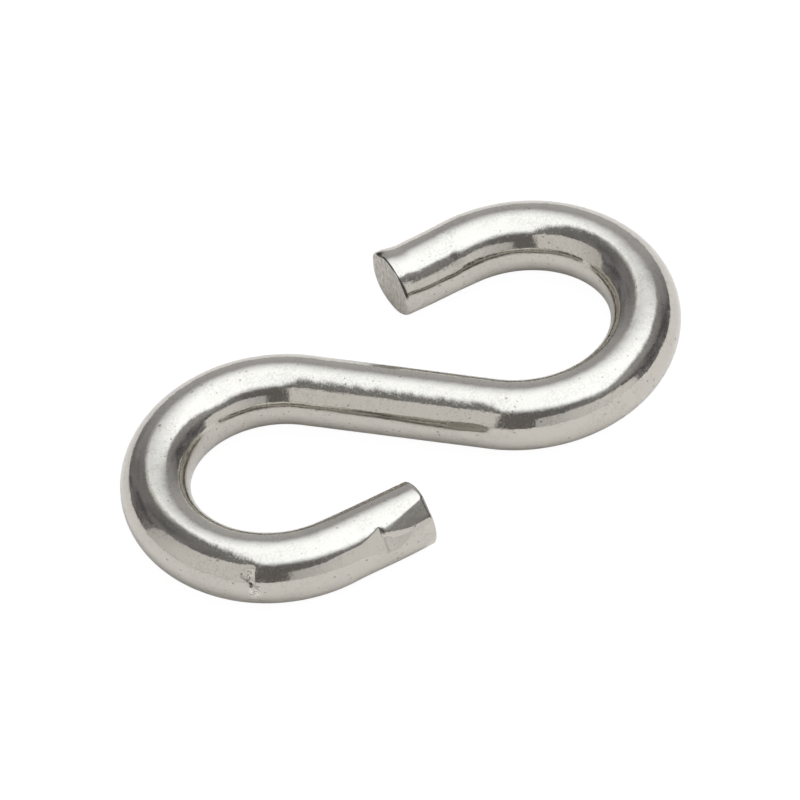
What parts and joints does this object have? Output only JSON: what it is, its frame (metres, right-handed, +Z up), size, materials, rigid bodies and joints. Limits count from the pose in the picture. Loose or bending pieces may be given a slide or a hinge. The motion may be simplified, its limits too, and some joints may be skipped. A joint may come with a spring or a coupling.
{
  "type": "s hook",
  "caption": "S hook of polished round stainless bar, bent flat with an open eye at each end, for joining chains, rings or cords.",
  "frame": {"origin": "on the table under the middle of the hook's outline, with the hook lying on its side", "axes": "+X runs along the hook's length, through the middles of both eyes, towards the far eye; +Y points away from the near tail, towards the far tail; +Z points up, along the pin that each eye was bent round"},
  "size_m": [0.0532, 0.0284, 0.0061],
  "materials": {
    "polished_steel": "tumble-polished stainless steel bar, bright with fine pits, small dents from the bending tools and matte sheared ends"
  },
  "bodies": {
    "root": {"hook": "polished_steel"}
  },
  "joints": []
}
